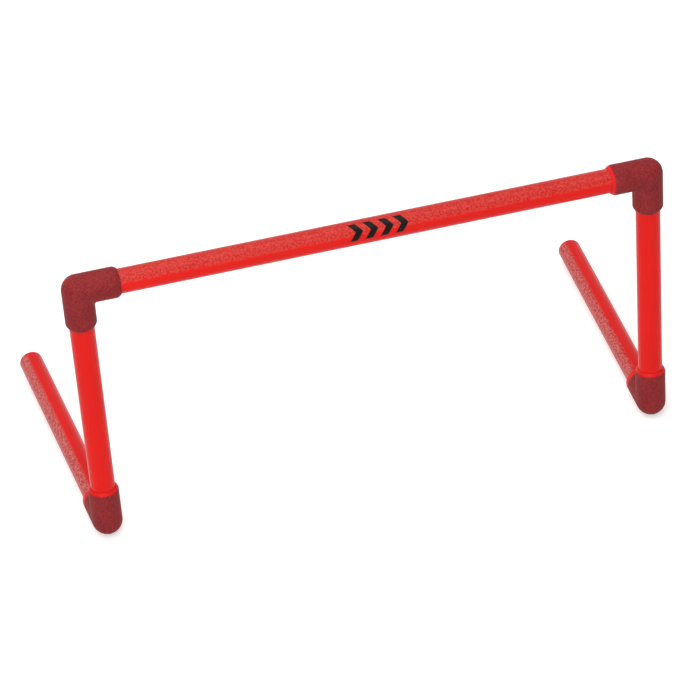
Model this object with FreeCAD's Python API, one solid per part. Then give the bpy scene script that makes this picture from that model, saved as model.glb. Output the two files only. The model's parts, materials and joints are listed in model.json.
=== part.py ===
"""Speed hurdle: a crossbar on two uprights, with a swivelling foot behind each upright.

Pipes and moulded elbows, each its own solid. Millimetres and degrees.
+X runs along the crossbar, +Y runs back along the feet, +Z is up.
The origin is on the floor, in the middle of the space that the hurdle covers.
"""
import FreeCAD, Part
import math
import os

# Stance
span = 585.0                # between the axes of the two uprights
bar_top_height = 305.0      # floor to the top of the crossbar
foot_reach = 312.0          # axis of an upright to the far face of its foot
foot_toe_out = 3.2          # each foot points this far outwards, in degrees

# Pipe
pipe_diameter = 25.0
pipe_wall = 2.0
cut_bevel = 0.4             # broken edge of a sawn pipe end

# Elbow
elbow_wall = 3.25           # around the pipe
socket_depth = 22.5         # mouth to the shoulder that stops the pipe
stop_margin = 6.5           # keeps the two pipe ends apart inside the elbow
inner_corner_fillet = 4.0
lip_length = 4.5            # tapered stretch at each mouth
lip_wall = 0.9              # wall left at the mouth
lip_round = 2.0             # softens the start of the taper
socket_lead_in = 0.4        # bevel inside the mouth

# Fits
cement_gap = 0.05           # radial, in the cemented sockets
swivel_gap = 0.08           # radial, where a foot turns on its upright
swivel_seat_gap = 0.1       # between an upright's end and the shoulder below it
plug_gap = 0.05             # radial, between the plug's barbs and the pipe

# Foot plug
plug_head = 3.0             # thickness of the cap that closes the pipe
plug_rim_round = 1.5
plug_spigot_length = 16.0
plug_spigot_drop = 0.9      # spigot below the tips of its barbs, radial
plug_spigot_wall = 1.8
plug_barb_length = 3.0
plug_barb_count = 3

# Cuts run past the surface by this much
overrun = 2.0

# Worked out from the values above
pipe_radius = pipe_diameter / 2
pipe_bore_radius = pipe_radius - pipe_wall
elbow_radius = pipe_radius + elbow_wall
lip_radius = pipe_radius + lip_wall
pipe_stop = pipe_radius + stop_margin
elbow_arm = pipe_stop + socket_depth
lip_start = elbow_arm - lip_length
bar_height = bar_top_height - pipe_radius
foot_height = elbow_radius
plug_seat = foot_reach - plug_head

# The foot's tip, with its rounded rim, reaches this far behind the upright
toe_out_radians = math.radians(foot_toe_out)
foot_extent = (
    (foot_reach - plug_rim_round) * math.cos(toe_out_radians)
    + (pipe_radius - plug_rim_round) * math.sin(toe_out_radians)
    + plug_rim_round
)
upright_y = (elbow_radius - foot_extent) / 2

Vector = FreeCAD.Vector
Rotation = FreeCAD.Rotation
CORNER = Vector(0, 0, 0)
ALONG_X = Vector(1, 0, 0)
ALONG_Y = Vector(0, 1, 0)
UP = Vector(0, 0, 1)
FULL_TURN = 360
HALF_TURN = 180
QUARTER_TURN = 90
SMALL_SHARE = 0.001
match_tolerance = elbow_radius * SMALL_SHARE

Z_TO_X = Rotation(ALONG_Y, QUARTER_TURN)


def revolved(outline):
    """Turn a closed (radius, height) outline about the Z axis into a solid."""
    corners = [Vector(radius, 0, height) for radius, height in outline]
    face = Part.Face(Part.makePolygon(corners + corners[:1]))
    return face.revolve(CORNER, UP, FULL_TURN)


def only_solid(shape):
    """Give the one solid that a shape holds, and stop if it holds another number."""
    if len(shape.Solids) != 1:
        raise ValueError(f"expected one solid, found {len(shape.Solids)}")
    return shape.Solids[0]


def placed(shape, position, rotation):
    """Copy a shape, turn it about its own origin and move that origin to a position."""
    moved = shape.copy()
    moved.Placement = FreeCAD.Placement(position, rotation)
    return moved


def real_edges(shape):
    """List the edges that have a length, which leaves out the poles of spheres."""
    return [edge for edge in shape.Edges if not edge.Degenerated]


def pipe(length):
    """Make a pipe from the origin along +Z, with both cut edges broken inside and out."""
    outline = [
        (pipe_bore_radius + cut_bevel, 0),
        (pipe_radius - cut_bevel, 0),
        (pipe_radius, cut_bevel),
        (pipe_radius, length - cut_bevel),
        (pipe_radius - cut_bevel, length),
        (pipe_bore_radius + cut_bevel, length),
        (pipe_bore_radius, length - cut_bevel),
        (pipe_bore_radius, cut_bevel),
    ]
    return revolved(outline)


def arm_outside():
    """Make one arm of an elbow, solid, along +Z, with the taper at its mouth."""
    outline = [
        (0, 0),
        (elbow_radius, 0),
        (elbow_radius, lip_start),
        (lip_radius, elbow_arm),
        (0, elbow_arm),
    ]
    return revolved(outline)


def arm_inside(gap):
    """Make the hollow of one arm along +Z: passage, shoulder, socket and lead-in."""
    socket_radius = pipe_radius + gap
    mouth_radius = socket_radius + socket_lead_in
    outline = [
        (0, 0),
        (pipe_bore_radius, 0),
        (pipe_bore_radius, pipe_stop),
        (socket_radius, pipe_stop),
        (socket_radius, elbow_arm - socket_lead_in),
        (mouth_radius, elbow_arm),
        (mouth_radius, elbow_arm + overrun),
        (0, elbow_arm + overrun),
    ]
    return revolved(outline)


def inner_crease(shape):
    """Find the edges where the two arms meet on the inside of the bend."""
    crease = []
    for edge in real_edges(shape):
        middle = edge.valueAt((edge.FirstParameter + edge.LastParameter) / 2)
        if middle.x > match_tolerance and abs(middle.x - middle.z) < match_tolerance:
            crease.append(edge)
    return crease


def taper_edges(shape):
    """Find the two circles where the tapered lips start."""
    circles = [edge for edge in real_edges(shape) if isinstance(edge.Curve, Part.Circle)]
    return [
        edge for edge in circles
        if abs(edge.Curve.Center.Length - lip_start) < match_tolerance
    ]


def elbow(gap_along_x, gap_up):
    """Make a right-angle elbow with its corner at the origin and its arms along +X and +Z."""
    outside = placed(arm_outside(), CORNER, Z_TO_X).fuse([arm_outside(), Part.makeSphere(elbow_radius)])
    outside = only_solid(outside.removeSplitter())
    outside = only_solid(outside.makeFillet(inner_corner_fillet, inner_crease(outside)))
    outside = only_solid(outside.makeFillet(lip_round, taper_edges(outside)))
    inside = placed(arm_inside(gap_along_x), CORNER, Z_TO_X).fuse(
        [arm_inside(gap_up), Part.makeSphere(pipe_bore_radius)]
    )
    return only_solid(outside.cut(inside))


def foot_plug():
    """Make a push-in plug along +Z: a head from the origin up, and a barbed hollow spigot below."""
    barb_radius = pipe_bore_radius - plug_gap
    spigot_radius = barb_radius - plug_spigot_drop
    spigot_bore = spigot_radius - plug_spigot_wall
    barb_pitch = plug_spigot_length / (plug_barb_count + 1)
    outline = [(0, plug_head), (pipe_radius, plug_head), (pipe_radius, 0), (spigot_radius, 0)]
    for number in range(plug_barb_count):
        barb_top = -barb_pitch * (number + 1)
        outline.append((spigot_radius, barb_top))
        outline.append((barb_radius, barb_top))
        outline.append((spigot_radius, barb_top - plug_barb_length))
    outline.append((spigot_radius, -plug_spigot_length))
    outline.append((spigot_bore, -plug_spigot_length))
    outline.append((spigot_bore, 0))
    outline.append((0, 0))
    plug = revolved(outline)
    rim = [
        edge for edge in real_edges(plug)
        if abs(edge.BoundBox.ZMin - plug_head) < match_tolerance
        and abs(edge.BoundBox.XMax - pipe_radius) < match_tolerance
    ]
    return only_solid(plug.makeFillet(plug_rim_round, rim))


def frame_parts():
    """Make the crossbar, the upper elbows and the uprights, which are cemented together."""
    upper_elbow = elbow(cement_gap, cement_gap)
    upper_turns = {"left": Rotation(ALONG_X, HALF_TURN), "right": Rotation(ALONG_Y, HALF_TURN)}
    upright_bottom = foot_height + pipe_stop + swivel_seat_gap
    upright = pipe(bar_height - pipe_stop - upright_bottom)
    bar_end = span / 2 - pipe_stop
    parts = {"crossbar": placed(pipe(2 * bar_end), Vector(-bar_end, upright_y, bar_height), Z_TO_X)}
    for side, x in SIDES.items():
        corner = Vector(x, upright_y, bar_height)
        parts[f"upper_{side}_elbow"] = placed(upper_elbow, corner, upper_turns[side])
        parts[f"{side}_upright"] = placed(upright, Vector(x, upright_y, upright_bottom), Rotation())
    return parts


def foot_parts(side):
    """Make one foot: the elbow that turns on the upright, the pipe behind it and its plug."""
    x = SIDES[side]
    toe_out = foot_toe_out if x < 0 else -foot_toe_out
    heading = Rotation(UP, QUARTER_TURN + toe_out)
    direction = heading.multVec(ALONG_X)
    corner = Vector(x, upright_y, foot_height)
    along_foot = heading.multiply(Z_TO_X)
    foot_pipe = pipe(plug_seat - pipe_stop)
    return {
        f"lower_{side}_elbow": placed(elbow(cement_gap, swivel_gap), corner, heading),
        f"{side}_foot_tube": placed(foot_pipe, corner + direction * pipe_stop, along_foot),
        f"{side}_foot_plug": placed(foot_plug(), corner + direction * plug_seat, along_foot),
    }


SIDES = {"left": -span / 2, "right": span / 2}

os.makedirs("parts", exist_ok=True)
hurdle = frame_parts()
for side_name in SIDES:
    hurdle.update(foot_parts(side_name))
for node, solid in hurdle.items():
    solid.exportStep(f"parts/{node}.step")
    print(f"{node}: valid {solid.isValid()}, {solid.Volume:.1f} cubic mm")
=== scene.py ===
"""Looks of a speed hurdle: red plastic pipe held together by dark moulded elbows.

Every piece is a closed surface worked out with numpy in the part's own frame, in metres:
+X along the crossbar, +Y back along the feet, +Z up.
"""

import json
import logging
import math
from dataclasses import dataclass, field
from enum import Enum

import bmesh
import bpy
import numpy as np
from mathutils import Matrix, Vector

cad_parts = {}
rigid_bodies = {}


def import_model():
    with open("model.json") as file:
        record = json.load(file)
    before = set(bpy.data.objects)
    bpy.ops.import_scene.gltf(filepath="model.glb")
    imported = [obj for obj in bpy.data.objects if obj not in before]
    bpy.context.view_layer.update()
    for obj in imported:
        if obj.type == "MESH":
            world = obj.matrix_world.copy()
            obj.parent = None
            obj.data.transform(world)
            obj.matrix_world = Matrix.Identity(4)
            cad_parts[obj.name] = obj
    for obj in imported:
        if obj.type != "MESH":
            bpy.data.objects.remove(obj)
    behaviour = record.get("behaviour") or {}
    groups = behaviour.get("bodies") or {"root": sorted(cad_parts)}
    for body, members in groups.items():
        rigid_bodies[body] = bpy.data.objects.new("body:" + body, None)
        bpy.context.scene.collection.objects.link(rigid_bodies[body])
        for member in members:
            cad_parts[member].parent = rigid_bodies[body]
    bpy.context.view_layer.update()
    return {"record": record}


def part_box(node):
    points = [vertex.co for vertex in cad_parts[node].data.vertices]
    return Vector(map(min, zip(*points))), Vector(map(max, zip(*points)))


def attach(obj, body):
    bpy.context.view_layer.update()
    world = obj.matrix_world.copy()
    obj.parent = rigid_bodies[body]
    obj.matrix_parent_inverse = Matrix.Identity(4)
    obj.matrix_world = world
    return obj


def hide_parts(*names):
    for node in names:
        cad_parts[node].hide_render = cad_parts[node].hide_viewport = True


LOG = logging.getLogger("hurdle")
MM = 0.001
FULL_TURN = 2 * math.pi
HALF_TURN = math.pi
QUARTER_TURN = math.pi / 2
WELD_DISTANCE = 1e-7
PHOTO_SIDE = 700
SENSOR_WIDTH = 36.0
ALONG_X = np.array([1.0, 0.0, 0.0])
FORWARDS = np.array([0.0, -1.0, 0.0])
UP = np.array([0.0, 0.0, 1.0])

Colour = tuple[float, float, float, float]
Triple = tuple[float, float, float]
Pair = tuple[float, float]
Socket = bpy.types.NodeSocket

WHITE: Colour = (1.0, 1.0, 1.0, 1.0)
NOT_TO_ALL: Pair = (0.0, 1.0)
ALL_TO_NOT: Pair = (1.0, 0.0)


class Side(Enum):
    """The two sides of the hurdle, as seen from in front of the crossbar."""

    LEFT = "left"
    RIGHT = "right"


class Slot(Enum):
    """The record's material slots."""

    PIPE = "pipe"
    FITTING = "fitting"
    PLUG = "plug"


class Output(Enum):
    """The kinds of node that a tree of nodes ends in."""

    MATERIAL = "OutputMaterial"
    WORLD = "OutputWorld"


def unit(vector: np.ndarray) -> np.ndarray:
    """Scale a vector to length one."""
    return vector / np.linalg.norm(vector)


def wrapped_quads(rows: int, columns: int, close_rows: bool) -> np.ndarray:
    """Number the corners of a grid of quads whose columns close into rings.

    Args:
        rows: rings along the shape.
        columns: points round each ring.
        close_rows: whether the last ring joins the first one.

    Returns:
        One row of four point numbers for each quad.
    """
    starts = np.arange(rows if close_rows else rows - 1)
    row, column = np.meshgrid(starts, np.arange(columns), indexing="ij")
    row, column = row.ravel(), column.ravel()
    here = row * columns
    after = (row + 1) % rows * columns
    beside = (column + 1) % columns
    return np.stack([here + column, here + beside, after + beside, after + column], axis=1)


def wrapped_uv(along: np.ndarray, around: np.ndarray) -> np.ndarray:
    """Give each quad's corners their lengths along and around the shape.

    Args:
        along: length at each ring and, last, where the grid closes.
        around: length at each column and, last, where the ring closes.

    Returns:
        Four (along, around) pairs for each quad, in metres, in the order of wrapped_quads.
    """
    steps = np.arange(len(along) - 1), np.arange(len(around) - 1)
    row, column = (number.ravel() for number in np.meshgrid(*steps, indexing="ij"))
    corners = [(row, column), (row, column + 1), (row + 1, column + 1), (row + 1, column)]
    return np.stack([np.stack([along[i], around[j]], axis=1) for i, j in corners], axis=1)


@dataclass
class Skin:
    """A grid of points that wraps into a closed surface.

    points is rings x columns x 3. masks are named values at each point, between 0 and 1.
    """

    points: np.ndarray
    close_rows: bool
    along: np.ndarray | None = None
    around: np.ndarray | None = None
    masks: dict[str, np.ndarray] = field(default_factory=dict)

    def to_object(self, name: str) -> bpy.types.Object:
        """Put the grid into a smooth mesh and close its poles.

        Args:
            name: name of the piece.

        Returns:
            The new object, at the origin and unturned.
        """
        rows, columns = self.points.shape[:2]
        quads = wrapped_quads(rows, columns, self.close_rows)
        mesh = bpy.data.meshes.new(name)
        mesh.from_pydata(self.points.reshape(-1, 3), [], quads)
        if self.along is not None and self.around is not None:
            layer = mesh.uv_layers.new(name="lengths")
            lengths = wrapped_uv(self.along, self.around)
            layer.data.foreach_set("uv", lengths.astype(np.float32).ravel())
        for mask, values in self.masks.items():
            attribute = mesh.attributes.new(mask, "FLOAT", "POINT")
            attribute.data.foreach_set("value", values.astype(np.float32).ravel())
        mesh.polygons.foreach_set("use_smooth", np.ones(len(quads), bool))
        shape = bmesh.new()
        shape.from_mesh(mesh)
        bmesh.ops.remove_doubles(shape, verts=shape.verts, dist=WELD_DISTANCE)
        shape.to_mesh(mesh)
        shape.free()
        mesh.update()
        piece = bpy.data.objects.new(name, mesh)
        bpy.context.scene.collection.objects.link(piece)
        return piece


@dataclass(frozen=True)
class Grain:
    """A noise: its waves to a metre, its finer layers, and how strong those are."""

    scale: float
    detail: float = 2.0
    roughness: float = 0.5


@dataclass(frozen=True)
class Relief:
    """How a height shows on a surface: its strength, and its depth in metres."""

    strength: float
    depth: float


class Graph:
    """A tree of nodes, with short ways to add nodes and join them."""

    def __init__(self, owner: bpy.types.Material | bpy.types.World, output: Output) -> None:
        """Empty the owner's node tree and add its output.

        Args:
            owner: the material or world that the nodes belong to.
            output: the kind of node that the tree ends in.
        """
        owner.use_nodes = True
        self.owner = owner
        self.tree = owner.node_tree
        self.tree.nodes.clear()
        self.output = self.add(output.value)

    def feed(self, socket: Socket, value: object) -> None:
        """Give an input its value.

        Args:
            socket: the input.
            value: an output socket that feeds it, or a constant.
        """
        if isinstance(value, bpy.types.NodeSocket):
            self.tree.links.new(value, socket)
        else:
            socket.default_value = value

    def add(self, kind: str, inputs: dict | None = None, **settings: object) -> bpy.types.Node:
        """Add a node.

        Args:
            kind: Blender's node type, without its ShaderNode prefix.
            inputs: input socket name or number to a constant, or to an output socket.
            settings: the node's own properties.

        Returns:
            The new node.
        """
        node = self.tree.nodes.new("ShaderNode" + kind)
        for key, value in settings.items():
            setattr(node, key, value)
        for key, value in (inputs or {}).items():
            self.feed(node.inputs[key], value)
        return node

    def math(self, operation: str, *values: object) -> Socket:
        """Do arithmetic, with a Math node's operation on sockets or constants."""
        return self.add("Math", dict(enumerate(values)), operation=operation).outputs[0]

    def ramp(self, value: Socket, source: Pair, target: Pair = NOT_TO_ALL) -> Socket:
        """Map a value from one range to another, with a soft start and end.

        Args:
            value: what is mapped.
            source: the range that it comes from.
            target: what the two ends of that range become.

        Returns:
            The mapped value, which stays between those ends.
        """
        limits = zip(("From Min", "From Max", "To Min", "To Max"), source + target)
        node = self.add("MapRange", {"Value": value, **dict(limits)}, interpolation_type="SMOOTHSTEP")
        return node.outputs["Result"]

    def blend(self, share: Socket, first: object, second: object) -> Socket:
        """Mix two colours.

        Args:
            share: how much of the second colour there is, from 0 to 1.
            first: the colour at 0, a constant or a socket.
            second: the colour at 1, a constant or a socket.

        Returns:
            The mixed colour.
        """
        share_input, first_input, second_input, colour_output = 0, 6, 7, 2
        inputs = {share_input: share, first_input: first, second_input: second}
        return self.add("Mix", inputs, data_type="RGBA").outputs[colour_output]

    def noise(self, vector: Socket, grain: Grain, stretch: Triple | None = None) -> Socket:
        """Add a noise.

        Args:
            vector: the coordinates that it is read at.
            grain: its scale and layers.
            stretch: what each coordinate is multiplied by first, where they differ.

        Returns:
            A value between 0 and 1, mostly near 0.5.
        """
        if stretch is not None:
            vector = self.add("Mapping", {"Vector": vector, "Scale": stretch}).outputs["Vector"]
        inputs = {"Scale": grain.scale, "Detail": grain.detail, "Roughness": grain.roughness}
        return self.add("TexNoise", {"Vector": vector, **inputs}).outputs["Fac"]

    def bump(self, height: Socket, relief: Relief, under: Socket | None = None) -> Socket:
        """Turn a height into a normal.

        Args:
            height: the height, between 0 and 1.
            relief: how strongly it shows.
            under: a normal that it lies on top of.

        Returns:
            The new normal.
        """
        inputs = {"Height": height, "Strength": relief.strength, "Distance": relief.depth}
        if under is not None:
            inputs["Normal"] = under
        return self.add("Bump", inputs).outputs["Normal"]

    def plastic(self, colour: Socket, roughness: Socket, normal: Socket, specular: float) -> None:
        """End the tree in a plastic.

        Args:
            colour: its colour.
            roughness: its roughness.
            normal: its normal.
            specular: how much it reflects, the same all over.
        """
        inputs = {"Base Color": colour, "Roughness": roughness, "Normal": normal}
        shader = self.add("BsdfPrincipled", {**inputs, "Specular IOR Level": specular})
        self.finish(shader.outputs["BSDF"])

    def finish(self, shader: Socket) -> None:
        """Join the shader to the output."""
        self.tree.links.new(shader, self.output.inputs["Surface"])


@dataclass(frozen=True)
class Chevrons:
    """A plain row of chevrons printed on the crossbar, in metres on the pipe's skin."""

    centre: float
    pitch: float = 15.5 * MM
    count: int = 4
    stroke_share: float = 0.5
    half_height: float = 9.0 * MM
    slant: float = 0.75
    edge: float = 0.25 * MM

    def mask(self, graph: Graph, lengths: Socket) -> Socket:
        """Work out where ink lies: bands that lean back on both sides of their middle line.

        A place's distance along the row is its length along the pipe, less the row's middle, plus
        slant times its distance from the middle line. Ink covers a share of each pitch.

        Args:
            graph: the material's node tree.
            lengths: the pipe's lengths along and around.

        Returns:
            1 on ink and 0 elsewhere.
        """
        axes = graph.add("SeparateXYZ", {"Vector": lengths})
        off_middle = graph.math("ABSOLUTE", axes.outputs["Y"])
        lean = graph.math("MULTIPLY", off_middle, self.slant)
        row_middle = self.centre - self.half_height * self.slant / 2
        offset = graph.math("SUBTRACT", axes.outputs["X"], row_middle)
        place = graph.math("ADD", offset, lean)
        half_row = self.pitch * self.count / 2
        in_row = graph.math("LESS_THAN", graph.math("ABSOLUTE", place), half_row)
        turns = graph.math("DIVIDE", place, self.pitch)
        phase = graph.math("ABSOLUTE", graph.math("SUBTRACT", graph.math("FRACT", turns), 0.5))
        half_stroke = self.stroke_share / 2
        soft = self.edge / self.pitch
        stroke = graph.ramp(phase, (half_stroke - soft, half_stroke + soft), ALL_TO_NOT)
        top = (self.half_height - self.edge, self.half_height + self.edge)
        height = graph.ramp(off_middle, top, ALL_TO_NOT)
        return graph.math("MULTIPLY", graph.math("MULTIPLY", stroke, height), in_row)


@dataclass(frozen=True)
class PaintedSheenBand:
    """A band of painted sheen along a pipe, in metres on the pipe's skin: painted shade, a darker red,
    broken by pale flecks of painted highlight.

    fringe is how far its pale flecks of painted highlight reach past the painted shade, which paints a
    lighter line along the band's edge.
    """

    centre: float
    half_width: float
    edge: float = 1.3 * MM
    fringe: float = 0.0

    def masks(self, graph: Graph, lengths: Socket) -> tuple[Socket, Socket]:
        """Work out two soft-edged bands along the pipe: the painted shade, and the wider band where
        pale flecks of painted highlight lie.

        Args:
            graph: the material's node tree.
            lengths: the pipe's lengths along and around.

        Returns:
            The band of painted shade and the band of painted-highlight flecks, each 1 inside and 0
            outside.
        """
        around = graph.add("SeparateXYZ", {"Vector": lengths}).outputs["Y"]
        off = graph.math("ABSOLUTE", graph.math("SUBTRACT", around, self.centre))
        reaches = (self.half_width - self.fringe, self.half_width)
        limits = [(reach - self.edge, reach + self.edge) for reach in reaches]
        dull, sheen_flecked = (graph.ramp(off, pair, ALL_TO_NOT) for pair in limits)
        return dull, sheen_flecked


@dataclass(frozen=True)
class PipeFinish:
    """Extruded red pipe: satin, with faint lines along it, a fine pebble and drifts of colour.

    One side can carry a painted sheen: a band of painted shade, a darker red, with pale flecks of
    painted highlight. Scuffs are short marks along the pipe. Where it is printed, the ink is slightly
    rubbed.
    """

    name: str = "red_pipe"
    red: Colour = (0.80, 0.0112, 0.0074, 1.0)
    deep_red: Colour = (0.75, 0.0110, 0.0080, 1.0)
    # The sheen band's colours: a darker red that is painted shade, and pale flecks that are painted
    # highlight.
    dull: Colour = (0.537, 0.0145, 0.0135, 1.0)
    sheen_fleck: Colour = (0.626, 0.0565, 0.0425, 1.0)
    scuff: Colour = (0.62, 0.07, 0.06, 1.0)
    ink: Colour = (0.004, 0.003, 0.003, 1.0)
    specular: float = 0.12
    roughness_span: Pair = (0.3, 1.0)
    roughness: Pair = (0.27, 0.5)
    drift: Grain = Grain(14.0, 3.0)
    drift_span: Pair = (0.3, 0.7)
    streaks: Grain = Grain(1.0)
    streak_stretch: Triple = (9.0, 900.0, 1.0)
    streak_relief: Relief = Relief(0.15, 0.02 * MM)
    pebble: Grain = Grain(620.0, 2.0, 0.6)
    pebble_relief: Relief = Relief(0.6, 0.09 * MM)
    sheen_flecks: Grain = Grain(520.0, 2.0, 0.6)
    sheen_fleck_stretch: Triple = (1.0, 1.15, 0.9)
    sheen_fleck_span: Pair = (0.35, 0.65)
    scuffs: Grain = Grain(1.0, 4.0, 0.7)
    scuff_stretch: Triple = (60.0, 420.0, 1.0)
    scuff_span: Pair = (0.66, 0.76)
    scuff_share: float = 0.3
    scuff_dulling: float = 0.8
    rubbing: Grain = Grain(380.0, 3.0)
    rubbing_span: Pair = (0.62, 0.72)
    ink_left: Pair = (1.0, 0.8)
    print_row: Chevrons | None = None
    painted_sheen: PaintedSheenBand | None = None

    def material(self) -> bpy.types.Material:
        """Build the pipe's nodes.

        Returns:
            The material.
        """
        graph = Graph(bpy.data.materials.new(self.name), Output.MATERIAL)
        lengths = graph.add("UVMap", uv_map="lengths").outputs["UV"]
        solid = graph.add("TexCoord").outputs["Object"]
        drift = graph.ramp(graph.noise(solid, self.drift), self.drift_span)
        colour = graph.blend(drift, self.red, self.deep_red)
        # Painted sheen: a band of painted shade, broken by pale flecks of painted highlight.
        if self.painted_sheen is not None:
            dull, sheen_flecked = self.painted_sheen.masks(graph, lengths)
            sheen_flecks = graph.ramp(graph.noise(solid, self.sheen_flecks, self.sheen_fleck_stretch), self.sheen_fleck_span)
            colour = graph.blend(dull, colour, self.dull)
            colour = graph.blend(graph.math("MULTIPLY", sheen_flecked, sheen_flecks), colour, self.sheen_fleck)
        scuffs = graph.noise(lengths, self.scuffs, self.scuff_stretch)
        worn = graph.ramp(scuffs, self.scuff_span, (0.0, self.scuff_share))
        colour = graph.blend(worn, colour, self.scuff)
        if self.print_row is not None:
            rubbing = graph.noise(solid, self.rubbing)
            left = graph.ramp(rubbing, self.rubbing_span, self.ink_left)
            inked = graph.math("MULTIPLY", self.print_row.mask(graph, lengths), left)
            colour = graph.blend(inked, colour, self.ink)
        streaks = graph.noise(lengths, self.streaks, self.streak_stretch)
        dulled = graph.math("MULTIPLY", worn, self.scuff_dulling)
        uneven = graph.math("ADD", streaks, dulled)
        roughness = graph.ramp(uneven, self.roughness_span, self.roughness)
        lined = graph.bump(streaks, self.streak_relief)
        normal = graph.bump(graph.noise(solid, self.pebble), self.pebble_relief, lined)
        graph.plastic(colour, roughness, normal, self.specular)
        return graph.owner


@dataclass(frozen=True)
class FittingFinish:
    """Moulded maroon elbow: matte grain, slightly mottled, with bright red at the lips: partly bare red
    plastic, partly painted light that each mouth's lip mask sets.
    """

    name: str = "maroon_fitting"
    dark: Colour = (0.185, 0.014, 0.019, 1.0)
    light: Colour = (0.310, 0.026, 0.024, 1.0)
    bloom: Colour = (0.270, 0.034, 0.048, 1.0)
    # The lips' bright red: partly bare plastic, partly painted light on lips that face the lamps.
    lip: Colour = (0.72, 0.012, 0.012, 1.0)
    specular: float = 0.12
    roughness_span: Pair = (0.0, 0.8)
    roughness: Pair = (0.42, 0.68)
    clouds: Grain = Grain(70.0, 3.0, 0.6)
    cloud_share: float = 0.25
    speckle: Grain = Grain(520.0, 2.0, 0.65)
    mottle_span: Pair = (0.36, 0.64)
    dust: Grain = Grain(430.0, 3.0, 0.7)
    dust_stretch: Triple = (1.0, 1.0, 1.3)
    dust_span: Pair = (0.5, 0.72)
    dust_share: float = 0.85
    chipping: float = 0.5
    bare_and_lit_span: Pair = (0.4, 0.75)
    bare_polish: float = 0.4
    pores: Grain = Grain(900.0, 2.0, 0.6)
    pore_relief: Relief = Relief(0.5, 0.07 * MM)

    def material(self) -> bpy.types.Material:
        """Build the elbow's nodes.

        Returns:
            The material.
        """
        graph = Graph(bpy.data.materials.new(self.name), Output.MATERIAL)
        solid = graph.add("TexCoord").outputs["Object"]
        speckle = graph.noise(solid, self.speckle)
        clouded = graph.math("MULTIPLY", graph.noise(solid, self.clouds), self.cloud_share)
        speckled = graph.math("MULTIPLY", speckle, 1 - self.cloud_share)
        mottle = graph.math("ADD", clouded, speckled)
        colour = graph.blend(graph.ramp(mottle, self.mottle_span), self.dark, self.light)
        dust = graph.noise(solid, self.dust, self.dust_stretch)
        dusted = graph.ramp(dust, self.dust_span, (0.0, self.dust_share))
        colour = graph.blend(dusted, colour, self.bloom)
        # Bright red lips from the lip mask: partly bare red plastic, partly painted light set per
        # mouth.
        lip = graph.add("Attribute", attribute_name="lip", attribute_type="GEOMETRY").outputs["Fac"]
        uneven = graph.math("MULTIPLY", graph.math("SUBTRACT", speckle, 0.5), self.chipping)
        bare_and_lit = graph.ramp(graph.math("ADD", lip, uneven), self.bare_and_lit_span)
        colour = graph.blend(bare_and_lit, colour, self.lip)
        polished = graph.math("MULTIPLY", bare_and_lit, self.bare_polish)
        matte = graph.math("SUBTRACT", speckle, polished)
        roughness = graph.ramp(matte, self.roughness_span, self.roughness)
        normal = graph.bump(graph.noise(solid, self.pores), self.pore_relief)
        graph.plastic(colour, roughness, normal, self.specular)
        return graph.owner


@dataclass(frozen=True)
class PlugFinish:
    """Moulded red end plug: satin, finely grained, with dull scuffs."""

    name: str = "red_plug"
    red: Colour = (0.66, 0.008, 0.007, 1.0)
    dull: Colour = (0.50, 0.030, 0.030, 1.0)
    specular: float = 0.3
    roughness: Pair = (0.34, 0.55)
    scuffs: Grain = Grain(260.0, 4.0, 0.65)
    scuff_span: Pair = (0.48, 0.7)
    scuff_share: float = 0.8
    pores: Grain = Grain(900.0)
    pore_relief: Relief = Relief(0.35, 0.05 * MM)

    def material(self) -> bpy.types.Material:
        """Build the plug's nodes.

        Returns:
            The material.
        """
        graph = Graph(bpy.data.materials.new(self.name), Output.MATERIAL)
        solid = graph.add("TexCoord").outputs["Object"]
        scuff_limits = (0.0, self.scuff_share)
        scuffed = graph.ramp(graph.noise(solid, self.scuffs), self.scuff_span, scuff_limits)
        colour = graph.blend(scuffed, self.red, self.dull)
        roughness = graph.ramp(scuffed, scuff_limits, self.roughness)
        normal = graph.bump(graph.noise(solid, self.pores), self.pore_relief)
        graph.plastic(colour, roughness, normal, self.specular)
        return graph.owner


@dataclass
class Pipe:
    """A cut length of pipe with broken edges at both ends.

    start is the centre of one end and heading the way it runs. front is the side that the
    length around it is counted from. bevel_share is how far the middle of a broken edge bulges.
    """

    name: str
    start: np.ndarray
    heading: np.ndarray
    front: np.ndarray
    length: float
    radius: float
    wall: float = 2.0 * MM
    bevel: float = 0.4 * MM
    bevel_share: float = 0.3
    columns: int = 96
    rings: int = 40

    def outline(self) -> np.ndarray:
        """List the points round the pipe's wall: outside, end, bore and the other end.

        Returns:
            One (distance from the start, radius) pair for each ring.
        """
        end, radius, bore = self.length, self.radius, self.radius - self.wall
        edge, middle = self.bevel, self.bevel * self.bevel_share
        outside = np.linspace(2 * edge, end - 2 * edge, self.rings)
        return np.concatenate([
            [[0, radius - edge], [middle, radius - middle], [edge, radius]],
            np.stack([outside, np.full(self.rings, radius)], axis=1),
            [[end - edge, radius], [end - middle, radius - middle], [end, radius - edge]],
            [[end, bore + edge], [end - edge, bore]],
            np.stack([outside[::-1], np.full(self.rings, bore)], axis=1),
            [[edge, bore], [0, bore + edge]],
        ])

    def skin(self) -> Skin:
        """Turn the wall's outline about the pipe's axis.

        A point at angle t is start + distance * heading + radius * (cos t * front + sin t * side).

        Returns:
            The pipe's closed surface.
        """
        heading = unit(self.heading)
        front = unit(self.front - (self.front @ heading) * heading)
        side = np.cross(heading, front)
        edges = np.linspace(-HALF_TURN, HALF_TURN, self.columns + 1)
        angle = edges[:-1, None]
        ring = np.cos(angle) * front + np.sin(angle) * side
        outline = self.outline()
        distance, radius = outline[:, 0, None, None], outline[:, 1, None, None]
        points = self.start + distance * heading + radius * ring
        steps = np.linalg.norm(np.diff(np.concatenate([outline, outline[:1]]), axis=0), axis=1)
        along = np.concatenate([[0], np.cumsum(steps)])
        return Skin(points, True, along, edges * self.radius)


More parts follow.
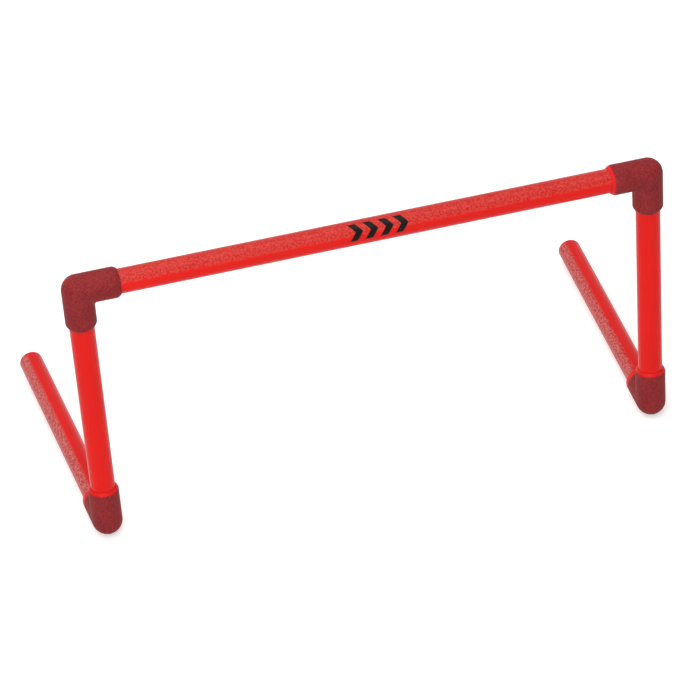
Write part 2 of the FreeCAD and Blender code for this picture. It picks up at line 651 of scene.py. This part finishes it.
@dataclass
class Elbow:
    """A moulded right-angle elbow with a round outer corner, tapered lips and two pipe sockets.

    corner is where the two arms' axes meet; first and second are the ways that the arms run.
    The mould's seam is a low ridge in the plane of the two arms. lip_wear_and_light is how bright red
    each arm's lip is: partly bare red plastic, partly painted light, bright on lips that face the lamps
    and dark on lips that face away. past_lip is how far that bright red reaches onto the stretch just
    past the lip. after_lip is where that stretch has its rings. clear keeps the skin inside the part's
    own box.
    """

    name: str
    corner: np.ndarray
    first: np.ndarray
    second: np.ndarray
    radius: float
    arm: float
    pipe_radius: float
    stop: float = 19.0 * MM
    bore: float = 10.5 * MM
    inner_fillet: float = 4.0 * MM
    socket_gap: float = 0.06 * MM
    lead_in: float = 0.2 * MM
    lead_in_rows: int = 3
    lip_length: float = 4.5 * MM
    lip_wall: float = 0.9 * MM
    lip_round: float = 0.35 * MM
    lip_round_share: float = 0.3
    lip_ease: float = 1.5
    lip_fade: float = 1.25
    lip_wear_and_light: Pair = (1.0, 1.0)
    lip_rows: int = 8
    past_lip: Pair = (0.0, 0.0)
    after_lip: Triple = (0.8 * MM, 2.0 * MM, 4.5 * MM)
    seam_height: float = 0.12 * MM
    seam_width: float = 0.5 * MM
    seam_round: float = 0.6
    seam_spread: float = 2.4
    seam_columns: int = 9
    clear: float = 0.01 * MM
    columns: int = 96
    straight_rows: int = 6
    bend_rows: int = 14

    def angles(self) -> np.ndarray:
        """List the angles round an arm, closer together where the mould's seam runs.

        Returns:
            Angles from 0, which is outside the bend, up to a full turn.
        """
        even = np.linspace(0, FULL_TURN, self.columns, endpoint=False)
        steps = np.linspace(-self.seam_spread, self.seam_spread, self.seam_columns)
        near = steps * self.seam_width / self.radius
        every = np.concatenate([even, near % FULL_TURN, near + HALF_TURN])
        return np.unique(np.round(every, 6))

    def outside_profile(self) -> tuple[np.ndarray, np.ndarray]:
        """List the rings outside an arm, from its mouth to just past its lip.

        The lip rises from its tip to the body as 1 - (1 - share) to the power of lip_ease.

        Returns:
            (distance from the corner, radius) pairs, and how much of each ring is lip.
        """
        tip = self.pipe_radius + self.lip_wall
        body = self.radius - self.seam_height - self.clear
        middle = self.lip_round_share * self.lip_round
        rim_end = self.arm - self.lip_round
        rim = [[self.arm, tip - self.lip_round], [self.arm - middle, tip - middle], [rim_end, tip]]
        share = np.linspace(0, 1, self.lip_rows + 1)[1:]
        eased = 1 - (1 - share) ** self.lip_ease
        run = self.lip_length - self.lip_round
        taper = np.stack([rim_end - share * run, tip + eased * (body - tip)], axis=1)
        after = [[self.arm - self.lip_length - past, body] for past in self.after_lip]
        worn = [np.ones(len(rim)), np.clip(self.lip_fade - share, 0, 1), np.zeros(len(after))]
        return np.concatenate([rim, taper, after]), np.concatenate(worn)

    def inside_profile(self) -> np.ndarray:
        """List the rings inside an arm, from its mouth: lead-in, socket, shoulder and bore.

        Returns:
            (distance from the corner, radius) pairs.
        """
        socket = self.pipe_radius + self.socket_gap
        return np.array([
            [self.arm, socket + self.lead_in],
            [self.arm - self.lead_in, socket],
            [self.arm - 3 * self.lead_in, socket],
            [self.stop + self.lead_in, socket],
            [self.stop, socket],
            [self.stop, self.bore],
            [self.stop - self.lead_in, self.bore],
        ])

    def half(self, profile: np.ndarray, angle: np.ndarray, lift: np.ndarray) -> np.ndarray:
        """Work out one arm from its mouth to the middle of the bend, in the elbow's own axes.

        A ring's point at angle t lies c = radius * cos t outside the arm's axis and
        radius * sin t beside it. Outside the axis it turns the corner on a circle of radius c
        about the corner itself. Inside, where c is negative, it turns on a fillet that grows
        with its depth, about a point that far past both arms.

        Args:
            profile: (distance from the corner, radius) from the mouth inwards.
            angle: angles round the arm.
            lift: what the seam adds to the radius at each ring and angle.

        Returns:
            Rings x angles x 3 points: along the first arm, beside it, along the second arm.
        """
        radius = profile[:, 1, None] + lift
        out, beside = radius * np.cos(angle), -radius * np.sin(angle)
        distance = np.broadcast_to(profile[:, 0, None], out.shape)
        mouth = np.stack([distance, beside, -out], axis=2)
        out, beside, last = out[-1], beside[-1], radius[-1]
        deep = np.maximum(-out, 0)
        fillet = self.inner_fillet * deep / last
        centre = np.where(out < 0, deep + fillet, 0)
        turning = np.where(out < 0, fillet, out)
        share = np.linspace(1, 0, self.straight_rows + 1)[1:, None]
        run = centre + share * (profile[-1, 0] - centre)
        level, wide = np.broadcast_to(-out, run.shape), np.broadcast_to(beside, run.shape)
        straight = np.stack([run, wide, level], axis=2)
        turn = np.linspace(0, QUARTER_TURN / 2, self.bend_rows + 1)[1:, None]
        bend_x = centre - turning * np.sin(turn)
        bend_z = centre - turning * np.cos(turn)
        bend = np.stack([bend_x, np.broadcast_to(beside, bend_x.shape), bend_z], axis=2)
        return np.concatenate([mouth, straight, bend])

    def skin(self) -> Skin:
        """Join the outside and the inside of both arms into one closed surface.

        The second arm is the first one with its two arm axes exchanged. The seam's height is
        exp(-d^2), with d the distance from the arms' plane over seam_round times seam_width.

        Returns:
            The elbow's closed surface, with a mask of its lips.
        """
        angle = self.angles()
        off_seam = np.abs(np.sin(angle)) * self.radius
        ridge = np.exp(-((off_seam / (self.seam_round * self.seam_width)) ** 2))
        profile, lip = self.outside_profile()
        seam_rings = np.arange(len(profile)) >= len(profile) - len(self.after_lip)
        outer = self.half(profile, angle, seam_rings[:, None] * ridge * self.seam_height)
        inner = self.half(self.inside_profile(), angle, np.zeros(len(angle)))
        swap = [2, 1, 0]
        loop = [outer, outer[::-1][1:][:, :, swap], inner[:, :, swap], inner[::-1][1:]]
        first, second = unit(self.first), unit(self.second)
        axes = np.stack([first, np.cross(second, first), second])
        points = self.corner + np.concatenate(loop) @ axes
        plain = np.zeros(len(outer) - len(lip))
        # The lip mask per mouth: partly bare red plastic, partly painted light, bright where the lip
        # faces the lamps.
        wear_and_light_pairs = zip(self.lip_wear_and_light, self.past_lip)
        one, two = (np.concatenate([np.maximum(lip * wear_and_light, past), plain]) for wear_and_light, past in wear_and_light_pairs)
        inside = np.arange(len(inner)) < self.lead_in_rows
        inner_one, inner_two = (inside * wear_and_light for wear_and_light in self.lip_wear_and_light)
        rings = np.concatenate([one, two[::-1][1:], inner_two, inner_one[::-1][1:]])
        return Skin(points, True, masks={"lip": np.broadcast_to(rings[:, None], points.shape[:2])})


@dataclass
class Plug:
    """A push-in plug: a flush head with a rounded rim and a dished face, and a barbed hollow spigot.

    face is the centre of its outer face and outwards the way that face looks.
    """

    name: str
    face: np.ndarray
    outwards: np.ndarray
    radius: float
    bore: float
    head: float = 3.0 * MM
    head_bevel: float = 0.1 * MM
    rim: float = 1.5 * MM
    rim_margin: float = 0.5 * MM
    rim_points: int = 9
    dish: float = 0.35 * MM
    dish_radius: float = 8.2 * MM
    dish_slope: float = 1.2 * MM
    dish_points: int = 7
    spigot_length: float = 16.0 * MM
    spigot_drop: float = 0.9 * MM
    spigot_wall: float = 1.8 * MM
    barb_gap: float = 0.05 * MM
    barb_length: float = 3.0 * MM
    barbs: int = 3
    columns: int = 72

    def face_outline(self) -> np.ndarray:
        """List the points of the face: a flat dish, a smooth slope up from it and a round rim.

        Returns:
            (distance behind the face, radius) pairs, from the middle outwards.
        """
        share = np.linspace(0, 1, self.dish_points)
        ease = share * share * (3 - 2 * share)
        slope_start = self.dish_radius - self.dish_slope / 2
        slope = np.stack([self.dish * (1 - ease), slope_start + share * self.dish_slope], axis=1)
        turn = np.linspace(0, QUARTER_TURN, self.rim_points)
        rim_start = self.radius - self.rim
        rounded = np.stack([self.rim * (1 - np.cos(turn)), rim_start + self.rim * np.sin(turn)], axis=1)
        floor = [[self.dish, 0], [self.dish, self.dish_radius / 2]]
        return np.concatenate([floor, slope, [[0, rim_start - self.rim_margin]], rounded])

    def outline(self) -> np.ndarray:
        """List the points from the middle of the face round to the spigot's hollow.

        Returns:
            (distance behind the face, radius) pairs.
        """
        barb = self.bore - self.barb_gap
        spigot = barb - self.spigot_drop
        hollow = spigot - self.spigot_wall
        pitch = self.spigot_length / (self.barbs + 1)
        tops = self.head + pitch * (np.arange(self.barbs) + 1)
        root, tip = np.full(self.barbs, spigot), np.full(self.barbs, barb)
        tooth = [np.stack([tops, root], 1), np.stack([tops, tip], 1)]
        tooth.append(np.stack([tops + self.barb_length, root], 1))
        teeth = np.stack(tooth, axis=1).reshape(-1, 2)
        head, bevel = self.head, self.head_bevel
        back = head + self.spigot_length
        return np.concatenate([
            self.face_outline(),
            [[head - bevel, self.radius], [head, self.radius - bevel], [head, spigot]],
            teeth,
            [[back, spigot], [back, hollow], [head, hollow], [head, 0]],
        ])

    def skin(self) -> Skin:
        """Turn the outline about the plug's axis.

        A point at angle t is face - distance * outwards + radius * (cos t * up + sin t * side).

        Returns:
            The plug's closed surface.
        """
        inwards = -unit(self.outwards)
        side = np.cross(inwards, UP)
        angle = np.linspace(0, FULL_TURN, self.columns, endpoint=False)[:, None]
        ring = np.cos(angle) * UP + np.sin(angle) * side
        outline = self.outline()
        distance, radius = outline[:, 0, None, None], outline[:, 1, None, None]
        return Skin(self.face + distance * inwards + radius * ring, False)


@dataclass
class Layout:
    """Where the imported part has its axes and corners, in metres."""

    bar_start: np.ndarray
    bar_length: float
    pipe_radius: float
    elbow_radius: float
    elbow_arm: float
    upright_bottom: dict[Side, np.ndarray]
    upright_length: float
    top_corner: dict[Side, np.ndarray]
    foot_corner: dict[Side, np.ndarray]
    foot_heading: dict[Side, np.ndarray]
    foot_face: dict[Side, np.ndarray]

    @classmethod
    def read(cls, record: dict) -> "Layout":
        """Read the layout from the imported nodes' boxes and the record's mounts and joints.

        Args:
            record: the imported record.

        Returns:
            The layout.
        """
        joints = {joint["name"]: joint for joint in record["behaviour"]["joints"]}
        mounts = {mount["name"]: mount for mount in record["mounts"]}
        swivels = {side: joints[f"{side.value}_foot_swivel"] for side in Side}
        ends = {side: mounts[f"{side.value}_foot_end"] for side in Side}
        uprights = {side: np.array(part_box(f"{side.value}_upright")) for side in Side}
        bar_low, bar_high = np.array(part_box("crossbar"))
        _, elbow_high = np.array(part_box("upper_left_elbow"))
        _, bar_y, bar_z = (bar_low + bar_high) / 2
        foot_corner = {side: np.array(swivels[side]["pos_m"], float) for side in Side}
        across = {side: foot_corner[side][0] for side in Side}
        upright_low, upright_high = uprights[Side.LEFT]
        return cls(
            bar_start=np.array([bar_low[0], bar_y, bar_z]),
            bar_length=float(bar_high[0] - bar_low[0]),
            pipe_radius=float(bar_high[2] - bar_low[2]) / 2,
            elbow_radius=float(elbow_high[2] - bar_z),
            elbow_arm=float(elbow_high[0] - across[Side.LEFT]),
            upright_bottom={
                side: np.array([across[side], bar_y, low[2]]) for side, (low, _) in uprights.items()
            },
            upright_length=float(upright_high[2] - upright_low[2]),
            top_corner={side: np.array([across[side], bar_y, bar_z]) for side in Side},
            foot_corner=foot_corner,
            foot_heading={side: unit(np.array(ends[side]["axis"], float)) for side in Side},
            foot_face={side: np.array(ends[side]["pos_m"], float) for side in Side},
        )


@dataclass(frozen=True)
class Marks:
    """Where the print and the painted sheen lie on the pipes.

    print_place is a share of the bar's length. The bar's and the feet's pairs are the middle of the
    band of painted sheen, counted round the pipe from its front, and half its width, in pipe radii.
    """

    print_place: float = 0.53
    # Painted sheen: a pale band on the top of the bar and on the left of each foot, where the lamps
    # above and at the back left fall.
    bar_sheen: Pair = (-0.88, 1.2)
    bar_fringe: float = 2.0 * MM
    foot_sheen: Pair = (-1.4, 1.0)
    foot_edge: float = 2.6 * MM


@dataclass
class Finishes:
    """The hurdle's materials, each made once."""

    pipe: bpy.types.Material
    foot_pipe: bpy.types.Material
    printed_pipe: bpy.types.Material
    fitting: bpy.types.Material
    plug: bpy.types.Material

    @classmethod
    def mix(cls, layout: Layout, marks: Marks) -> "Finishes":
        """Make the materials for a hurdle of this layout.

        Args:
            layout: gives the bar's length and the pipe's radius.
            marks: where the print and the painted sheen lie.

        Returns:
            The materials.
        """
        bar_middle, bar_half = (share * layout.pipe_radius for share in marks.bar_sheen)
        foot_middle, foot_half = (share * layout.pipe_radius for share in marks.foot_sheen)
        printed = PipeFinish(
            name="printed_red_pipe",
            # A little darker red than the plain pipe: painted shade.
            red=(0.78, 0.0112, 0.0074, 1.0),
            deep_red=(0.735, 0.0110, 0.0080, 1.0),
            print_row=Chevrons(centre=layout.bar_length * marks.print_place),
            painted_sheen=PaintedSheenBand(bar_middle, bar_half, fringe=marks.bar_fringe),
        )
        # The feet's pipe: a darker red than the other pipes, painted shade, with a band of painted
        # sheen down one side.
        foot = PipeFinish(
            name="foot_red_pipe",
            red=(0.75, 0.006, 0.004, 1.0),
            deep_red=(0.69, 0.006, 0.005, 1.0),
            dull=(0.41, 0.017, 0.014, 1.0),
            sheen_fleck=(0.63, 0.118, 0.106, 1.0),
            sheen_flecks=Grain(430.0, 2.0, 0.6),
            painted_sheen=PaintedSheenBand(foot_middle, foot_half, edge=marks.foot_edge),
        )
        return cls(
            pipe=PipeFinish().material(),
            foot_pipe=foot.material(),
            printed_pipe=printed.material(),
            fitting=FittingFinish().material(),
            plug=PlugFinish().material(),
        )


@dataclass
class Dresser:
    """Puts the pieces of one body into the scene."""

    body: str

    def place(
        self, shape: Pipe | Elbow | Plug, finish: bpy.types.Material, node: str, slot: Slot
    ) -> None:
        """Make a piece, dress it and tie it to the part.

        Args:
            shape: the piece's shape and name.
            finish: its material.
            node: the CAD node that it stands for.
            slot: the record's material slot; not used.
        """
        piece = shape.skin().to_object(shape.name)
        piece.data.materials.append(finish)
        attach(piece, self.body)
        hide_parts(node)
        LOG.info("%s: %d faces, rides on %s", piece.name, len(piece.data.polygons), self.body)


@dataclass
class Frame:
    """The rigid frame: a crossbar, two uprights and the two elbows cemented between them.

    bar_front is the side of the bar that carries the print. lip_wear_and_light gives, for each side's
    elbow, how bright red the lip on the bar and the lip on the upright are: partly bare red plastic,
    partly painted light, bright where a lip faces up and to the left towards the lamps and dark where
    it faces away.
    """

    layout: Layout
    finishes: Finishes
    body: str = "frame"
    bar_front: Triple = (0.0, -0.83, 0.56)
    # Painted light in part: each lip's brightness follows which way it faces the lamps.
    lip_wear_and_light: dict[Side, Pair] = field(
        default_factory=lambda: {Side.LEFT: (0.3, 0.3), Side.RIGHT: (0.95, 0.3)}
    )

    def crossbar(self) -> Pipe:
        """Lay out the crossbar.

        Returns:
            The pipe.
        """
        layout = self.layout
        front = np.array(self.bar_front)
        size = (layout.bar_length, layout.pipe_radius)
        return Pipe("crossbar_pipe", layout.bar_start, ALONG_X, front, *size)

    def upright(self, side: Side) -> Pipe:
        """Lay out an upright.

        Args:
            side: the side that it stands on.

        Returns:
            The pipe.
        """
        layout = self.layout
        bottom = layout.upright_bottom[side]
        size = (layout.upright_length, layout.pipe_radius)
        return Pipe(f"{side.value}_upright_pipe", bottom, UP, FORWARDS, *size)

    def elbow(self, side: Side) -> Elbow:
        """Lay out an upper elbow.

        Args:
            side: the side that it is on.

        Returns:
            The elbow.
        """
        layout = self.layout
        inwards = ALONG_X if side is Side.LEFT else -ALONG_X
        size = (layout.elbow_radius, layout.elbow_arm, layout.pipe_radius)
        name, corner = f"upper_{side.value}_fitting", layout.top_corner[side]
        return Elbow(name, corner, inwards, -UP, *size, lip_wear_and_light=self.lip_wear_and_light[side])

    def build(self) -> None:
        """Build and dress the crossbar, the uprights and the upper elbows."""
        dresser = Dresser(self.body)
        dresser.place(self.crossbar(), self.finishes.printed_pipe, "crossbar", Slot.PIPE)
        for side in Side:
            upright_node, elbow_node = f"{side.value}_upright", f"upper_{side.value}_elbow"
            dresser.place(self.upright(side), self.finishes.pipe, upright_node, Slot.PIPE)
            dresser.place(self.elbow(side), self.finishes.fitting, elbow_node, Slot.FITTING)


@dataclass
class Foot:
    """One foot: the elbow that turns on its upright, the pipe behind it and the plug in its end.

    stop is how far from the elbow's corner the pipe starts. past_lip is how far the elbow's bright red
    reaches past its two lips, the foot pipe's first. clear keeps the plug's skin inside the part's own
    box.
    """

    side: Side
    layout: Layout
    finishes: Finishes
    stop: float = 19.0 * MM
    plug_head: float = 3.0 * MM
    wall: float = 2.0 * MM
    past_lip: Pair = (0.85, 0.0)
    clear: float = 0.01 * MM

    def build(self) -> None:
        """Build and dress the lower elbow, the foot pipe and its plug."""
        name, layout = self.side.value, self.layout
        corner, face = layout.foot_corner[self.side], layout.foot_face[self.side]
        heading = layout.foot_heading[self.side]
        radius = layout.pipe_radius
        elbow_size = (layout.elbow_radius, layout.elbow_arm, radius)
        elbow_name = f"lower_{name}_fitting"
        elbow = Elbow(elbow_name, corner, heading, UP, *elbow_size, past_lip=self.past_lip)
        pipe_start = corner + self.stop * heading
        pipe_length = float((face - corner) @ heading) - self.plug_head - self.stop
        pipe = Pipe(f"{name}_foot_pipe", pipe_start, heading, UP, pipe_length, radius)
        plug_face = face - self.clear * heading
        plug = Plug(f"{name}_foot_cap", plug_face, heading, radius, radius - self.wall)
        dresser = Dresser(f"{name}_foot")
        dresser.place(elbow, self.finishes.fitting, f"lower_{name}_elbow", Slot.FITTING)
        dresser.place(pipe, self.finishes.foot_pipe, f"{name}_foot_tube", Slot.PIPE)
        dresser.place(plug, self.finishes.plug, f"{name}_foot_plug", Slot.PLUG)


@dataclass(frozen=True)
class Softbox:
    """A large soft lamp that looks at a point."""

    name: str
    location: Triple
    target: Triple
    size: Pair
    power: float

    def build(self) -> None:
        """Add the lamp to the scene."""
        lamp = bpy.data.lights.new(self.name, "AREA")
        lamp.shape = "RECTANGLE"
        lamp.size, lamp.size_y = self.size
        lamp.energy = self.power
        holder = bpy.data.objects.new(self.name, lamp)
        holder.location = self.location
        aim = Vector(self.target) - Vector(self.location)
        holder.rotation_euler = aim.to_track_quat("-Z", "Y").to_euler()
        bpy.context.scene.collection.objects.link(holder)


@dataclass(frozen=True)
class Studio:
    """A pale floor, a white surround and soft lamps: above, in front, and low behind on the left.

    The floor glows a little to the camera, more so far away. near_glow and far_glow are its
    strengths at the two distances in glow_reach.
    """

    floor_half: float = 14.0
    floor_colour: Colour = (0.80, 0.80, 0.80, 1.0)
    near_glow: float = 0.45
    far_glow: float = 0.75
    glow_reach: Pair = (0.9, 4.5)
    fill_strength: float = 0.4
    lamps: tuple[Softbox, ...] = (
        Softbox("top_lamp", (-0.3, -0.2, 2.4), (0.0, 0.0, 0.1), size=(2.6, 2.0), power=30.0),
        Softbox("front_lamp", (-1.1, -2.6, 1.7), (0.0, 0.0, 0.2), size=(2.2, 2.6), power=46.0),
        Softbox("back_lamp", (-1.7, 2.6, 0.95), (0.0, 0.1, 0.1), size=(1.6, 1.7), power=13.0),
    )

    def seen_share(self, graph: Graph) -> Socket:
        """Tell what is looked at from what only lights the hurdle.

        Args:
            graph: the node tree that asks.

        Returns:
            1 for rays from the camera and for reflected and refracted ones, and 0 for other light.
        """
        path = graph.add("LightPath").outputs
        both = graph.math("ADD", path["Is Camera Ray"], path["Is Glossy Ray"])
        return graph.math("MINIMUM", graph.math("ADD", both, path["Is Transmission Ray"]), 1.0)

    def floor_material(self) -> bpy.types.Material:
        """Build the floor's nodes: matte, with the glow added.

        Returns:
            The material.
        """
        graph = Graph(bpy.data.materials.new("pale_floor"), Output.MATERIAL)
        matte = graph.add("BsdfDiffuse", {"Color": self.floor_colour}).outputs[0]
        place = graph.add("TexCoord").outputs["Object"]
        away = graph.add("VectorMath", {0: place}, operation="LENGTH").outputs["Value"]
        level = graph.ramp(away, self.glow_reach, (self.near_glow, self.far_glow))
        strength = graph.math("MULTIPLY", self.seen_share(graph), level)
        glow = graph.add("Emission", {"Color": WHITE, "Strength": strength}).outputs[0]
        graph.finish(graph.add("AddShader", {0: matte, 1: glow}).outputs[0])
        return graph.owner

    def floor(self) -> None:
        """Lay a plain pale floor that keeps the hurdle's shadow."""
        edge = np.array([-self.floor_half, self.floor_half])
        x, y = np.meshgrid(edge, edge)
        points = np.stack([x.ravel(), y.ravel(), np.zeros(4)], axis=1)
        mesh = bpy.data.meshes.new("floor")
        mesh.from_pydata(points, [], [[0, 1, 3, 2]])
        mesh.materials.append(self.floor_material())
        sheet = bpy.data.objects.new("floor", mesh)
        bpy.context.scene.collection.objects.link(sheet)

    def surround(self) -> None:
        """Make the world white to look at, and a softer fill as light."""
        world = bpy.data.worlds.new("surround")
        bpy.context.scene.world = world
        graph = Graph(world, Output.WORLD)
        strength = graph.ramp(self.seen_share(graph), NOT_TO_ALL, (self.fill_strength, 1.0))
        sky = graph.add("Background", {"Color": WHITE, "Strength": strength})
        graph.finish(sky.outputs[0])

    def build(self) -> None:
        """Build the floor, the surround and the lamps."""
        self.floor()
        self.surround()
        for lamp in self.lamps:
            lamp.build()
        bpy.context.scene.view_settings.view_transform = "Standard"


@dataclass(frozen=True)
class PhotoCamera:
    """The photograph's camera: where it stands from the crossbar's plane, and how it is turned.

    right and down are the ways that the picture's rows and columns run.
    """

    place: Triple = (-0.6537, -2.6285, 1.9657)
    right: Triple = (0.95988, -0.27302, -0.06398)
    down: Triple = (-0.20359, -0.52159, -0.82855)
    focal_pixels: float = 3234.05
    clip: Pair = (0.05, 100.0)

    def build(self, upright_y: float) -> None:
        """Add the camera and make it the scene's.

        Args:
            upright_y: where the crossbar's plane stands, in metres.
        """
        lens = bpy.data.cameras.new("camera")
        lens.sensor_width = SENSOR_WIDTH
        lens.lens = self.focal_pixels / PHOTO_SIDE * SENSOR_WIDTH
        lens.clip_start, lens.clip_end = self.clip
        right = Vector(self.right).normalized()
        up = -Vector(self.down).normalized()
        back = right.cross(up).normalized()
        up = back.cross(right)
        turned = Matrix((right, up, back)).transposed().to_4x4()
        stand = Vector(self.place) + Vector((0.0, upright_y, 0.0))
        holder = bpy.data.objects.new("camera", lens)
        holder.matrix_world = Matrix.Translation(stand) @ turned
        bpy.context.scene.collection.objects.link(holder)
        bpy.context.scene.camera = holder


def clear_scene() -> None:
    """Remove whatever a new file starts with."""
    for thing in list(bpy.data.objects):
        bpy.data.objects.remove(thing, do_unlink=True)


def main() -> None:
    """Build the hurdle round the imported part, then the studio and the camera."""
    logging.basicConfig(level=logging.INFO, format="%(name)s: %(message)s")
    clear_scene()
    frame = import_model()
    layout = Layout.read(frame["record"])
    finishes = Finishes.mix(layout, Marks())
    Frame(layout, finishes).build()
    for side in Side:
        Foot(side, layout, finishes).build()
    Studio().build()
    PhotoCamera().build(float(layout.bar_start[1]))


if __name__ == "__main__":
    main()
